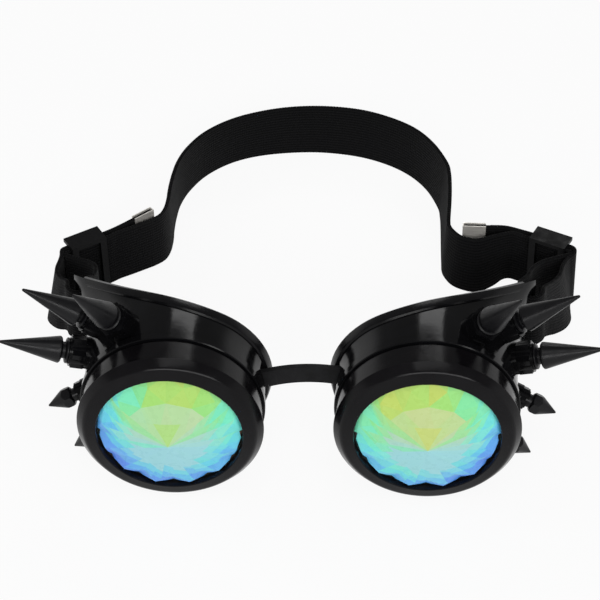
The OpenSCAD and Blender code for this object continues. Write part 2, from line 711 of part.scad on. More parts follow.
at_cup(-1) vent_caps();  // left_vent_caps
at_cup(1) vent_caps();  // right_vent_caps
at_cup(-1) spike_screws();  // left_spike_screws
at_cup(1) spike_screws();  // right_spike_screws
nose_bridge();
headband();
strap_end(-1, left_route);  // left_strap_end
strap_end(1, right_route);  // right_strap_end
at_slider(-1) slider_body();  // left_slider
at_slider(1) slider_body();  // right_slider
strap_tip(-1, left_route);  // left_strap_tip
strap_tip(1, right_route);  // right_strap_tip
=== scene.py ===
import bpy
import math
from mathutils import Matrix, Vector


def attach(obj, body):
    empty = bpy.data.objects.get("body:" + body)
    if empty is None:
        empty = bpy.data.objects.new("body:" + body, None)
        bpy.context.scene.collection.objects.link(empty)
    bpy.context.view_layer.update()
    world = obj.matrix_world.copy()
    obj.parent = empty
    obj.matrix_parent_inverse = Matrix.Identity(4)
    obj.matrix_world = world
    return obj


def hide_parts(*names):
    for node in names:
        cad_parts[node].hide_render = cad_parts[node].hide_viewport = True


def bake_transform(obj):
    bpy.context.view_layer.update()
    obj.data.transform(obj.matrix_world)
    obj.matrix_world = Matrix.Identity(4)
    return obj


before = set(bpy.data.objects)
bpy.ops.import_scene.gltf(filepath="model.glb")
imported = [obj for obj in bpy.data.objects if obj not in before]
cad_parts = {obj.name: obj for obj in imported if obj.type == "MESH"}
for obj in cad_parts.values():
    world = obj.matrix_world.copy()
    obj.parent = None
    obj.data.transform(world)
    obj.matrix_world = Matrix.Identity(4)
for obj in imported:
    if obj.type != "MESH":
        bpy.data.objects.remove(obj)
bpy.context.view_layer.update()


scene = bpy.context.scene

# Sizes repeated from the construction, in millimetres. The frame's origin lies under the middle of the
# object, MID_Y behind the lens rings' widest line.
MID_Y = 94.7
CUP_X = 44.5
CUP_Z = 32.5
RING_R = 32.5
WING_REACH = 40.2
BAR_Y = 60.0
SLOT_BAR = 3.6
STRAP_W = 24.0
STRAP_T = 1.5
APEX_Y = -10.35
LIP_BACK = -1.2
TOUCH = 0.05
LENS_EDGE = 3.0
SIDES = {"left": -1, "right": 1}


def to_row(x, y, z):
    """A place of the construction, in millimetres, as one of the frame, in metres."""
    return Vector((x / 1000, (y - MID_Y) / 1000, z / 1000))


# Camera: solved from the two lens rings and the band of the photograph
PHOTO_PX = 600
FOCAL_PX = 2099.5
SENSOR_MM = 36
CAM_DIST = 825.0
CAM_ELEVATION = 0.7236
CAM_ROLL = -0.0207
CAM_TURN = -0.0492
AIM_SHIFT = (-1.4162, -103.5584)


def make_camera():
    """The camera that shows the goggles as the photograph does."""
    e, turn = CAM_ELEVATION, Matrix.Rotation(-CAM_TURN, 3, "Z")
    place = turn @ Vector((-AIM_SHIFT[0], -CAM_DIST * math.cos(e) - AIM_SHIFT[1], CAM_DIST * math.sin(e)))
    right, up = Vector((1, 0, 0)), Vector((0, math.sin(e), math.cos(e)))
    c, s = math.cos(CAM_ROLL), math.sin(CAM_ROLL)
    right, up = turn @ (c * right + s * up), turn @ (c * up - s * right)
    back = right.cross(up)
    data = bpy.data.cameras.new("camera")
    data.sensor_width = SENSOR_MM
    data.lens = FOCAL_PX / PHOTO_PX * SENSOR_MM
    data.clip_end = 20
    camera = bpy.data.objects.new("camera", data)
    scene.collection.objects.link(camera)
    turned = Matrix((right, up, back)).transposed().to_4x4()
    camera.matrix_world = Matrix.Translation(to_row(*place)) @ turned
    scene.camera = camera


def srgb(r, g, b):
    """A colour given in sRGB from 0 to 255, as a linear one."""
    def lin(v):
        v /= 255
        return v / 12.92 if v <= 0.04045 else ((v + 0.055) / 1.055) ** 2.4
    return (lin(r), lin(g), lin(b), 1)


class Mat:
    """A material with one Principled shader, and short ways to add nodes to it."""

    def __init__(self, name, **values):
        self.mat = bpy.data.materials.new(name)
        self.mat.use_nodes = True
        self.tree = self.mat.node_tree
        self.shader = self.tree.nodes["Principled BSDF"]
        for key, value in values.items():
            self.shader.inputs[key.replace("_", " ").title()].default_value = value

    def node(self, kind, inputs=None, **settings):
        n = self.tree.nodes.new("ShaderNode" + kind)
        for key, value in settings.items():
            setattr(n, key, value)
        for key, value in (inputs or {}).items():
            if isinstance(value, bpy.types.NodeSocket):
                self.tree.links.new(value, n.inputs[key])
            else:
                n.inputs[key].default_value = value
        return n

    def place(self, scale=(1, 1, 1)):
        source = self.node("TexCoord").outputs["Object"]
        return self.node("Mapping", {"Vector": source, "Scale": scale}).outputs["Vector"]

    def noise(self, scale, detail=3, stretch=(1, 1, 1), vector=None):
        where = vector if vector is not None else self.place(stretch)
        return self.node("TexNoise", {"Vector": where, "Scale": scale, "Detail": detail}).outputs["Fac"]

    def spread(self, value, low, high, start=0.3, end=0.7):
        inputs = {"Value": value, "From Min": start, "From Max": end, "To Min": low, "To Max": high}
        return self.node("MapRange", inputs).outputs["Result"]

    def mix(self, fac, a, b):
        n = self.node("Mix", data_type="RGBA")
        for socket, value in ((n.inputs[0], fac), (n.inputs[6], a), (n.inputs[7], b)):
            if isinstance(value, bpy.types.NodeSocket):
                self.tree.links.new(value, socket)
            else:
                socket.default_value = value
        return n.outputs[2]

    def mirror_level(self, level):
        """How much the surface mirrors straight on, from 0 to 1."""
        self.shader.inputs["Specular IOR Level"].default_value = level

    def set(self, key, value):
        self.tree.links.new(value, self.shader.inputs[key])

    def bump(self, height, strength, distance, base=None):
        inputs = {"Height": height, "Strength": strength, "Distance": distance}
        if base is not None:
            inputs["Normal"] = base
        return self.node("Bump", inputs).outputs["Normal"]


def black_plastic(name, dark, light, rough, peel=0.06, specular=0.12):
    """Moulded plastic: faint clouds in the colour, rubbed patches in the gloss and a slight orange peel."""
    m = Mat(name, roughness=rough)
    m.mirror_level(specular)
    m.set("Base Color", m.mix(m.spread(m.noise(90, 4), 0, 1), dark, light))
    m.set("Roughness", m.spread(m.noise(260, 5), rough * 0.75, rough * 1.35))
    m.set("Normal", m.bump(m.noise(700, 2), peel, 0.0002))
    return m.mat


def rubber(name, dark, light, rough):
    """Soft black rubber: uneven in colour and gloss, with a fine grain."""
    m = Mat(name, roughness=rough)
    m.mirror_level(0.12)
    m.set("Base Color", m.mix(m.spread(m.noise(220, 5), 0, 1), dark, light))
    m.set("Roughness", m.spread(m.noise(900, 3), rough * 0.85, rough * 1.15))
    m.set("Normal", m.bump(m.noise(2600, 3), 0.18, 0.0002))
    return m.mat


def steel(name, shade, rough, stretch, metallic=1.0):
    """Brushed steel: darker lines, drawn out the more the smaller stretch is on an axis."""
    m = Mat(name, metallic=metallic, roughness=rough)
    lines = m.noise(900, 4, stretch)
    darker = tuple(0.82 * c for c in shade[:3]) + (1,)
    m.set("Base Color", m.mix(m.spread(lines, 0, 1), shade, darker))
    m.set("Roughness", m.spread(m.noise(300, 3), rough * 0.7, rough * 1.4))
    m.set("Normal", m.bump(lines, 0.12, 0.0001))
    return m.mat


def elastic(name):
    """Woven elastic: raised cords along the strap, the weft across them, a dull sheen and a little fuzz."""
    m = Mat(name, roughness=0.9, sheen_weight=0.04, sheen_roughness=0.5)
    m.mirror_level(0.06)
    uv = m.node("TexCoord").outputs["UV"]
    cord = {"Vector": uv, "Scale": 250.0, "Distortion": 0.4, "Detail": 1.0, "Detail Scale": 2.0}
    weft = {"Vector": uv, "Scale": 300.0, "Distortion": 0.8, "Detail": 1.0}
    along = m.node("TexWave", cord, wave_type="BANDS", bands_direction="Y").outputs["Fac"]
    across = m.node("TexWave", weft, wave_type="BANDS", bands_direction="X").outputs["Fac"]
    fuzz = m.noise(1800, 4, vector=uv)
    # Lighter on the raised cords and darker in the grooves between them: painted shade
    m.set("Base Color", m.mix(m.spread(along, 0, 1, 0.2, 0.9), srgb(9, 9, 10), srgb(19, 19, 20)))
    m.set("Normal", m.bump(along, 0.4, 0.0003, m.bump(across, 0.3, 0.0002, m.bump(fuzz, 0.2, 0.0002))))
    return m.mat


def film(name):
    """Coated glass: each facet carries the film's colour there, a painted reflection, under a clear hard
    surface.
    """
    m = Mat(name, roughness=0.3, coat_weight=0.5, coat_roughness=0.04)
    m.mirror_level(0.3)
    tone = m.node("Attribute", attribute_name="film").outputs["Color"]
    m.set("Base Color", m.mix(m.spread(m.noise(60, 3), 0, 0.03), tone, (0.8, 0.92, 0.86, 1)))
    m.set("Roughness", m.spread(m.noise(400, 3), 0.22, 0.38))
    return m.mat


shell = black_plastic("shell_plastic", srgb(9, 9, 10), srgb(14, 14, 16), 0.12)
ring = black_plastic("ring_plastic", srgb(11, 10, 12), srgb(17, 16, 18), 0.17)
cone = black_plastic("spike_plastic", srgb(12, 12, 14), srgb(19, 19, 21), 0.32, 0.1, 0.2)
cap = black_plastic("cap_plastic", srgb(9, 9, 10), srgb(14, 14, 16), 0.15, 0.08)
buckle = black_plastic("adjuster_plastic", srgb(11, 11, 12), srgb(17, 17, 18), 0.34, 0.15, 0.06)
trim = rubber("rim_rubber", srgb(11, 11, 12), srgb(17, 17, 19), 0.2)
strip = rubber("nose_strip_rubber", srgb(18, 18, 19), srgb(28, 28, 30), 0.55)
washer = rubber("washer_rubber", srgb(24, 24, 25), srgb(34, 34, 35), 0.7)
screw = steel("screw_steel", (0.5, 0.5, 0.52, 1), 0.32, (1, 1, 1))
crimp = steel("crimp_steel", (0.8, 0.77, 0.72, 1), 0.4, (0.2, 0.2, 6), 0.55)
webbing = elastic("woven_elastic")
glass = film("faceted_glass")

BY_ENDING = {
    "_eyecup": shell, "_rim_piping": trim, "_lens_ring": ring, "_lens": glass, "_lens_gasket": washer,
    "_spike": cone, "_stud": cone, "_vent_caps": cap, "_spike_screws": screw,
    "_strap_end": webbing, "_slider": buckle, "_strap_tip": crimp,
}
for name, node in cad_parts.items():
    finish = {"nose_bridge": strip, "headband": webbing}.get(name)
    for ending, found in BY_ENDING.items():
        if name.endswith(ending):
            finish = found
    for each in node.material_slots:
        each.material = finish


def make_piece(name, verts, faces, finish, sharp=None):
    """A new object of one material; sharp is the angle in degrees from which an edge of it stays hard."""
    mesh = bpy.data.meshes.new(name)
    mesh.from_pydata(verts, [], faces)
    if sharp is not None:
        mesh.shade_smooth()
        mesh.set_sharp_from_angle(angle=math.radians(sharp))
    mesh.materials.append(finish)
    piece = bpy.data.objects.new(name, mesh)
    scene.collection.objects.link(piece)
    return piece


# Angles from which the edges of moulded parts and of the woven straps stay hard
MOULDED_EDGE = 28
WOVEN_EDGE = 50


def smooth_copy(node, body, finish):
    """The same shape as a CAD node, with its corners joined, so that its small flats shade as one curve."""
    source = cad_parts[node].data
    index, verts, joined = {}, [], []
    for v in source.vertices:
        micrometres = tuple(round(c * 1e6) for c in v.co)
        if micrometres not in index:
            index[micrometres] = len(verts)
            verts.append(tuple(v.co))
        joined.append(index[micrometres])
    faces = [tuple(joined[i] for i in face.vertices) for face in source.polygons]
    faces = [f for f in faces if len(set(f)) == len(f)]
    piece = make_piece(f"{node}_smooth", verts, faces, finish, MOULDED_EDGE)
    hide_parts(node)
    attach(piece, body)


for side in SIDES:
    smooth_copy(f"{side}_eyecup", f"{side}_cup", shell)
    smooth_copy(f"{side}_rim_piping", f"{side}_cup", trim)

# The lens rings with their full bezel: radii and depths of lip, bezel, skirt, bore and the seat of the lens
BEZEL_Y = -4.75
LIP_R = 25.4
SKIRT_R = 31.6
SKIRT_END = 9.4
BORE_R = 29.15
SEAT_R = 27.3
SEAT_END = LIP_BACK + LENS_EDGE + 2 * TOUCH
# The bezel's rounded edge: radius, its centre as (radius, depth), first angle and step in degrees, points
ROUND_R = 3
ROUND_AT = (28.2, -0.76)
ROUND_FROM, ROUND_STEP, ROUND_POINTS = 12, 4, 11


def ring_profile():
    """Section of a ring as (radius, depth): lip, rounded edge, slope, widest line, skirt, bore and seat."""
    turns = [math.radians(ROUND_FROM + ROUND_STEP * k) for k in range(ROUND_POINTS)]
    lip = [(LIP_R, LIP_BACK - 0.4), (LIP_R, BEZEL_Y + 0.75), (LIP_R + 0.12, BEZEL_Y + 0.45),
           (LIP_R + 0.4, BEZEL_Y + 0.3)]
    edge = [(ROUND_AT[0] + ROUND_R * math.sin(a), ROUND_AT[1] - ROUND_R * math.cos(a)) for a in turns]
    outside = [(RING_R - 0.2, -0.45), (RING_R, -0.1), (RING_R, 0.2), (RING_R - 0.3, 0.5), (SKIRT_R, 0.9),
               (SKIRT_R, SKIRT_END - 0.4), (SKIRT_R - 0.4, SKIRT_END)]
    inside = [(BORE_R, SKIRT_END), (BORE_R, SEAT_END), (SEAT_R, SEAT_END), (SEAT_R, LIP_BACK),
              (LIP_R + 0.3, LIP_BACK)]
    return lip + edge + outside + inside


def lens_ring(side, steps=180):
    """A lens ring, turned from its section."""
    sign, profile = SIDES[side], ring_profile()
    n = len(profile)
    verts = [to_row(sign * CUP_X + r * math.cos(a), y, CUP_Z + r * math.sin(a))
             for a in (2 * math.pi * k / steps for k in range(steps)) for r, y in profile]
    faces = [(k * n + j, k * n + (j + 1) % n, (k + 1) % steps * n + (j + 1) % n, (k + 1) % steps * n + j)
             for k in range(steps) for j in range(n)]
    piece = make_piece(f"{side}_full_ring", verts, faces, ring, MOULDED_EDGE)
    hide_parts(f"{side}_lens_ring")
    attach(piece, f"{side}_ring")


for side in SIDES:
    lens_ring(side)


def catmull(a, b, c, d, t):
    """Point of the smooth curve between b and c, at the share t of the way."""
    return tuple(0.5 * (2 * q + (r - p) * t + (2 * p - 5 * q + 4 * r - s) * t * t
                        + (3 * q - p - 3 * r + s) * t ** 3)
                 for p, q, r, s in zip(a, b, c, d))


def smooth(points, steps):
    """The curve through all points but the first and the last, which only give its direction there."""
    out = [catmull(*points[i - 1:i + 3], k / steps)
           for i in range(1, len(points) - 2) for k in range(steps)]
    return out + [points[-2]]


def even(points, step):
    """The same route in equal steps of about the given length, each with its distance from the start."""
    run = [0.0]
    for a, b in zip(points, points[1:]):
        run.append(run[-1] + math.dist(a[:2], b[:2]))
    count = round(run[-1] / step / TOOTH_STEPS) * TOOTH_STEPS
    out, k = [], 0
    for i in range(count + 1):
        want = run[-1] * i / count
        while k < len(run) - 2 and run[k + 1] < want:
            k += 1
        t = (want - run[k]) / max(1e-9, run[k + 1] - run[k])
        out.append((tuple(p + (q - p) * t for p, q in zip(points[k], points[k + 1])), want))
    return out


# The woven straps: rounding of the edges, strips across the width, height of the weft's loops at the edges,
# one loop to so many steps along, the length of a step, and the points from one route point to the next
CORNER = 0.45
ROWS = 12
TOOTH = 0.28
TOOTH_STEPS = 3
STEP = 0.42
CURVE_STEPS = 12
# The shoulders of an edge: how far in they lie, and their share of the half thickness
SHOULDER_IN, SHOULDER_SHARE = 0.1, 0.55
# The two faces of a strap lie side by side in the weave's coordinates, this far apart in metres
FACES_APART = 0.03


def strap_profile(bite):
    """Section as (place on the width, offset through the thickness), with the edges pushed out by bite."""
    h = STRAP_T / 2
    edge, shoulder = SHOULDER_IN, h * SHOULDER_SHARE
    face = [CORNER + (STRAP_W - 2 * CORNER) * i / ROWS for i in range(ROWS + 1)]
    top = [(STRAP_W - edge + bite, shoulder), (STRAP_W + bite, 0), (STRAP_W - edge + bite, -shoulder)]
    low = [(edge - bite, -shoulder), (-bite, 0), (edge - bite, shoulder)]
    return [(w, h) for w in face] + top + [(w, -h) for w in reversed(face)] + low


def strap(name, route, mirrored=False):
    """A woven strap on edge along a route of (x, y, height of its lower edge, lean over its width)."""
    path = even(smooth(route, CURVE_STEPS), STEP)
    verts, uvs = [], []
    for i, (q, run) in enumerate(path):
        a, b = path[max(0, i - 1)][0], path[min(len(path) - 1, i + 1)][0]
        dx, dy = b[0] - a[0], b[1] - a[1]
        length = math.hypot(dx, dy)
        nx, ny = -dy / length, dx / length
        low, lean = max(0.0, q[2]), q[3]
        high = math.sqrt(STRAP_W ** 2 - lean ** 2)
        bite = TOOTH if i % TOOTH_STEPS == 1 else 0.0
        for w, off in strap_profile(bite - TOOTH):
            aside = off + lean * (w / STRAP_W - 0.5)
            x, y, z = q[0] + nx * aside, q[1] + ny * aside, low + high * w / STRAP_W
            verts.append(to_row(-x if mirrored else x, y, z))
            uvs.append((run / 1000, w / 1000 + (FACES_APART if off < 0 else 0)))
    n = len(strap_profile(0))
    faces = [(i * n + j, i * n + (j + 1) % n, (i + 1) * n + (j + 1) % n, (i + 1) * n + j)
             for i in range(len(path) - 1) for j in range(n)]
    last = (len(path) - 1) * n
    faces += [tuple(reversed(range(n))), tuple(last + j for j in range(n))]
    if mirrored:
        faces = [tuple(reversed(f)) for f in faces]
    piece = make_piece(name, verts, faces, webbing, WOVEN_EDGE)
    weave = piece.data.uv_layers.new(name="weave")
    for loop in piece.data.loops:
        weave.data[loop.index].uv = uvs[loop.vertex_index]
    return piece


# The headband's route, as (share of half its width, share of its depth, lean over the strap's width)
BAND_HALF, BAND_SHIFT = 56.0, -1.0
BAND_FRONT, BAND_BACK = 124.0, 199.0
BAND = [(0.973, -0.01, -1.6), (0.973, 0, -1.6), (0.973, 0.01, -1.6), (0.973, 0.02, -1.6),
        (0.975, 0.08, -1.9), (0.979, 0.18, -2.3), (0.982, 0.3, -2.5), (0.979, 0.42, -2.5),
        (0.96, 0.51, -2.3), (0.875, 0.665, -1.9), (0.748, 0.795, -1.9), (0.575, 0.893, -1.4),
        (0.348, 0.967, -1.2), (0.071, 1, -0.6), (-0.196, 0.99, 0), (-0.447, 0.944, 1.2),
        (-0.643, 0.87, 1.6), (-0.804, 0.76, 1.5), (-0.911, 0.629, 1.3), (-0.969, 0.505, 1.1),
        (-0.992, 0.385, 0.7), (-1, 0.28, 0.3), (-1, 0.22, 0), (-1, 0.2, 0), (-1, 0.1, 0)]
BAND_ROUTE = [(BAND_SHIFT + BAND_HALF * x, BAND_FRONT + (BAND_BACK - BAND_FRONT) * y, 0.0, lean)
              for x, y, lean in BAND]

# The straps' ends, x outwards: from the band, through the adjuster, round the wing's bar and back to the
# tip. Their points are (x, y, height, lean) from the band's end or from the bar, or (along, across) on the
# adjuster. LAYER is the distance of each of the two layers from the adjuster's middle.
BAR = (CUP_X + WING_REACH - 2.4, BAR_Y + SLOT_BAR / 2)
SLOT_Z = CUP_Z - STRAP_W / 2
SLIDER_LEN = 14.6
SLIDER_Z = 1.8
LAYER = 1.3
PAST = SLIDER_LEN / 2 + 0.1
INTO_SLIDER = (-9, -PAST, -6, 0, 6, PAST, PAST + 0.8)
OUT_OF_SLIDER = (PAST + 0.8, PAST, 6, 0, -6, -PAST)
LEFT_SLIDER = ((BAR[0] + 4.4, BAR[1] + 45.3), math.radians(33))
RIGHT_SLIDER = ((BAR[0] + 10.9, BAR[1] + 48.6), math.radians(27))
BAR_WRAP = [(-3.2, 11.2, 14), (-3, 4.2, SLOT_Z - 0.5), (-2.6, 0.2, SLOT_Z), (-1.2, -4.2, SLOT_Z),
            (1.7, -4.9, SLOT_Z), (4.4, -2.3, SLOT_Z - 0.3, 0.6), (5.3, 1.2, 19, 1.4), (6.8, 4.8, 17, 2.6)]
LEFT_CORNER = [(0, 5, 0), (0, 0, 0), (0, -0.8, 0), (0, -1.6, 0), (0.5, -7.2, 0), (2, -12.3, 0.3),
               (5.2, -16.3, 0.9), (8.9, -19.5, 1.5), (13.9, -23, 1.8), (18.3, -25.6, 1.8)]
LEFT_INNER = [(11.1, 39.2, 1.8), (11.1, 38.3, 1.8), (10.4, 37.5, 1.9), (8.5, 36.5, 2.1),
              (5.2, 34.5, 2.7), (1, 31.2, 4.1), (-1.9, 26.6, 6), (-2.9, 20, 9)]
LEFT_OUTER = [(10, 9.2, 14, 4), (13.2, 16.2, 10.2, 5), (14.8, 22.7, 6.8, 5), (14.9, 28.5, 4.4, 4),
              (14, 33.5, 2.8, 2.5), (13.4, 37, 2.2, 1.5), (13.2, 39.5, 1.9, 0.5), (12.8, 41.1, 1.8)]
LEFT_TAIL = [(-13, 1.5), (-18, 2.1), (-20, 2.4), (-24, 3), (-31, 4.05), (-32, 4.2)]
RIGHT_CORNER = [(0, 5, 0, 1.6), (0, 0, 0, 1.6), (0, -0.8, 0, 1.6), (0, -1.6, 0, 1.6), (0.9, -4.8, 0, 2.2),
                (3.9, -9.4, 0.1, 3.2), (8.4, -12, 0.3, 4), (12.4, -12.7, 0.5, 4), (17.8, -10.6, 1.1, 2.6)]
RIGHT_BEND = [(-18, -3.75), (-15.7, -1.55), (-12.8, -1.25)]
RIGHT_INNER = [(18.2, 43.1, 1.8), (18.2, 42.2, 1.8), (17.5, 41.4, 1.9), (15.4, 40.4, 2.1),
               (11.7, 38.4, 2.6), (6.2, 34, 4.1), (2.5, 27.7, 6.2), (0.5, 20.2, 9.4)]
RIGHT_OUTER = [(9.6, 9.7, 14, 4), (13, 16.7, 10.2, 5), (15.4, 24.7, 6.4, 5), (16.4, 32.2, 3.8, 4),
               (17.6, 37.7, 2.4, 2.2), (19.2, 40.5, 2, 1), (20, 42.8, 1.9, 0.4), (19.7, 44.9, 1.8)]
RIGHT_TAIL = [(0.4, 55.1, 1.8), (-5.7, 57.5, 1.75), (-11.2, 58.5, 1.2), (-12.4, 58.6, 1),
              (-17, 58.75, 1), (-22.2, 58.92, 1), (-23.2, 58.95, 1)]


def on_slider(slider, points):
    """Route points from places (along, across) on an adjuster at its centre and turn."""
    (x, y), turn = slider
    c, s = math.cos(turn), math.sin(turn)
    return [(x + along * c + across * s, y - along * s + across * c, SLIDER_Z, 0.0)
            for along, across in points]


def layer(slider, places, across):
    """Route points of one layer of the strap in an adjuster."""
    return on_slider(slider, [(along, across) for along in places])


def by(start, points):
    """Route points from places beside a start."""
    return [(start[0] + p[0], start[1] + p[1], p[2], p[3] if len(p) > 3 else 0.0) for p in points]


LEFT_ROUTE = (by((BAND_HALF - BAND_SHIFT, BAND_ROUTE[-2][1]), LEFT_CORNER)
              + layer(LEFT_SLIDER, INTO_SLIDER, -LAYER)
              + by(BAR, LEFT_INNER + BAR_WRAP + LEFT_OUTER)
              + layer(LEFT_SLIDER, OUT_OF_SLIDER, LAYER)
              + on_slider(LEFT_SLIDER, LEFT_TAIL))
RIGHT_ROUTE = (by(BAND_ROUTE[1], RIGHT_CORNER)
               + on_slider(RIGHT_SLIDER, RIGHT_BEND)
               + layer(RIGHT_SLIDER, INTO_SLIDER, -LAYER)
               + by(BAR, RIGHT_INNER + BAR_WRAP + RIGHT_OUTER)
               + layer(RIGHT_SLIDER, OUT_OF_SLIDER, LAYER)
               + by(BAR, RIGHT_TAIL))

band = strap("woven_band", BAND_ROUTE)
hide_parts("headband")
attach(band, "strap")
for side, route in (("left", LEFT_ROUTE), ("right", RIGHT_ROUTE)):
    sign = SIDES[side]
    piece = strap(f"{side}_woven_strap", route, mirrored=sign < 0)
    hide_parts(f"{side}_strap_end")
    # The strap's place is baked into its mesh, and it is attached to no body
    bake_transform(piece)


# The lenses: the dome's facets are cut into shards like those that the cut back of the real glass shows
# through the front. Kites round the point, half a kite's angle, a kite's fall for each millimetre outwards,
# the radius of the glass, and the dome's height and radius
KITES = 12
HALF = math.pi / KITES
KITE_SLOPE = 0.22
LENS_R = 27.0
DOME_H = 9.2
SEEN_R = 25.3
# Radii of the corners between the kites, of the kites' outer corners and of the second tier's
INNER_R, STAR_R, TIER_R = LENS_R * 0.32, LENS_R * 0.64, LENS_R * 0.87
# Corners round the rim of the glass
RIM_STEPS = 96
# Angles from straight up, in degrees: to the first the pale field has no line, to the second the shards are
# few and large, and to the third the star's edge is cut into the facets
FIELD_END = 28
UPPER = 50
STAR_END = 80
# Degrees over which the shards' look changes from that beside the point to that below it
TURN_DOWN = 62
# Width of the shards beside and below the point in degrees, and how much it varies
SHARD_WIDTH, SHARD_SPREAD = 12, 8
# Distances from the point at which the pale star, the aqua and the cyan end, beside the point and below it,
# and the tilt of those ends
ZONES_SIDE = (14.0, 17.5, 20.5)
ZONES_BELOW = (13.5, 16.8, 20.0)
TILT = (64, 26)
# The chance above which a shard's zones tilt the other way
TILT_BACK = 0.3
# How far the ends swing from one shard to the next and by chance, and how much less they do below the point
SWING, SWING_LESS = 1.3, 0.5
STRAY, STRAY_LESS = 3.4, 1.2
# Where the coating's painted reflection stands between yellow green and blue in each zone beside the point
# and below it, what it gains outwards, and how much it varies from shard to shard and from facet to facet
FILM_SIDE = (0.22, 0.28, 0.34, 0.4)
FILM_BELOW = (0.54, 0.62, 0.72, 0.88)
FILM_OUTWARDS = (0.05, 0.1, 0.13, 0.16)
SHARD_FILM, FACET_FILM = 0.07, 0.03
# How pale each zone is and how much that varies, and what is left of it in every third shard beside the
# point and in the outer zones below it, which begin at the lowness LOW
PALE = (0.85, 0.45, 0.12, 0.0)
PALE_SPREAD = (0.0, 0.5, 0.4, 0.0)
THIRD_PALE, LOW_PALE, LOW = 0.35, 0.55, 0.75
# The yellow green wedge that stands on the point: its height and half width for each millimetre of height
WEDGE_TOP = 9.0
WEDGE_SLOPE = 0.52
# The dark scallops of the rim below, painted shade: their two corners' distances, the degrees from one to
# the next, and the distance from the point that they never reach
SCALLOP = (24.1, 24.9)
SCALLOP_STEP = 7.5
SCALLOP_FREE = 18
# Share of a facet's own lean in its shading
EVEN_FILM = 0.4
# Colours of the coating, its own tint with its painted reflection, from yellow green at 0 to blue at 1
FILM = [(0.0, srgb(202, 214, 92)), (0.16, srgb(164, 226, 108)), (0.32, srgb(134, 234, 150)),
        (0.48, srgb(112, 238, 208)), (0.64, srgb(98, 214, 234)), (0.8, srgb(90, 176, 242)),
        (1.0, srgb(84, 140, 240))]
AQUA = srgb(162, 214, 224)
# What differs between the two lenses: the coating's shift, the wedge's colour and the pale field's
LOOKS = {"left": (0.02, srgb(168, 224, 104), srgb(192, 220, 168)),
         "right": (-0.05, srgb(198, 216, 98), srgb(202, 216, 148))}
# Colours of the painted shade in the lower rim's scallops
SCALLOP_SHADE_TONES = (srgb(56, 38, 16), srgb(12, 11, 10))
RIM_TONE = srgb(14, 18, 18)
BACK_TONE = srgb(120, 190, 180)


def blend(a, b, k):
    """The colour at the share k of the way from a to b."""
    return [p + (q - p) * min(1.0, max(0.0, k)) for p, q in zip(a, b)]


def film_colour(reflected_hue):
    """Colour of the coating's painted reflection at a place from 0 to 1 of its range."""
    reflected_hue = min(1.0, max(0.0, reflected_hue))
    for (t0, a), (t1, b) in zip(FILM, FILM[1:]):
        if reflected_hue <= t1:
            return blend(a, b, (reflected_hue - t0) / (t1 - t0))


def chance(*keys):
    """The same number from -0.5 to 0.5 for the same keys."""
    value = math.sin(sum(k * w for k, w in zip(keys, (12.9898, 78.233, 37.719, 9.151)))) * 43758.5453
    return value - math.floor(value) - 0.5


def split(polygon, a, b, c):
    """Cuts a convex polygon of (u, v) along the line a u + b v = c."""
    above = [a * u + b * v - c for u, v in polygon]
    above = [0.0 if abs(d) < 1e-6 else d for d in above]
    if min(above) >= 0 or max(above) <= 0:
        return [polygon]
    parts = ([], [])
    for i, (p, dp) in enumerate(zip(polygon, above)):
        q, dq = polygon[(i + 1) % len(polygon)], above[(i + 1) % len(polygon)]
        if dp <= 0:
            parts[0].append(p)
        if dp >= 0:
            parts[1].append(p)
        if dp * dq < 0:
            k = dp / (dp - dq)
            cut = (p[0] + (q[0] - p[0]) * k, p[1] + (q[1] - p[1]) * k)
            parts[0].append(cut)
            parts[1].append(cut)
    return list(parts)


def centre(polygon):
    return sum(p[0] for p in polygon) / len(polygon), sum(p[1] for p in polygon) / len(polygon)


def lens_facets():
    """The dome's facets as (tier, number, corners); a corner is (radius, angle in half kites, fall)."""
    inner_fall = KITE_SLOPE * INNER_R * math.cos(HALF)
    star_fall = KITE_SLOPE * STAR_R
    slope = (star_fall - inner_fall) / (STAR_R * math.cos(HALF) - INNER_R)
    tier_fall = inner_fall + slope * (TIER_R - INNER_R)
    facets = []
    for i in range(KITES):
        star, following = (STAR_R, 2 * i, star_fall), (STAR_R, 2 * i + 2, star_fall)
        mid, before = (INNER_R, 2 * i + 1, inner_fall), (INNER_R, 2 * i - 1, inner_fall)
        tier = (TIER_R, 2 * i + 1, tier_fall)
        edge = [(SEEN_R, 2 * i + k, DOME_H) for k in (0, 1, 2)]
        facets += [(0, i, [(0, 0, 0), before, star, mid]), (1, i, [mid, star, tier, following]),
                   (2, i, [star, edge[0], tier]), (3, 2 * i, [tier, edge[0], edge[1]]),
                   (3, 2 * i + 1, [tier, edge[1], edge[2]]), (2, i + 0.5, [tier, edge[2], following])]
    return facets


def ray(angle):
    """Direction at an angle in degrees from straight up."""
    return math.sin(math.radians(angle)), math.cos(math.radians(angle))


def ray_angles():
    """Angles of the lines between the shards."""
    angles = [FIELD_END, UPPER]
    while angles[-1] < 360 - UPPER - SHARD_WIDTH / 2:
        angles.append(angles[-1] + SHARD_WIDTH + SHARD_SPREAD * chance(len(angles), 2))
    return angles[:-1] + [360 - UPPER, 360 - FIELD_END]


RAYS = ray_angles()


def cut_by_rays(pieces, angles):
    """Cuts pieces along rays from the point."""
    for angle in angles:
        du, dv = ray(angle)
        out = []
        for p in pieces:
            u, v = centre(p)
            out += split(p, dv, -du, 0.0) if u * du + v * dv > 0 else [p]
        pieces = out
    return pieces


def cut_by_lines(pieces, lines):
    for a, b, c in lines:
        pieces = [part for p in pieces for part in split(p, a, b, c)]
    return pieces


def beyond(p, lines):
    """How many of the lines a piece lies beyond."""
    u, v = centre(p)
    return sum(a * u + b * v > c for a, b, c in lines)


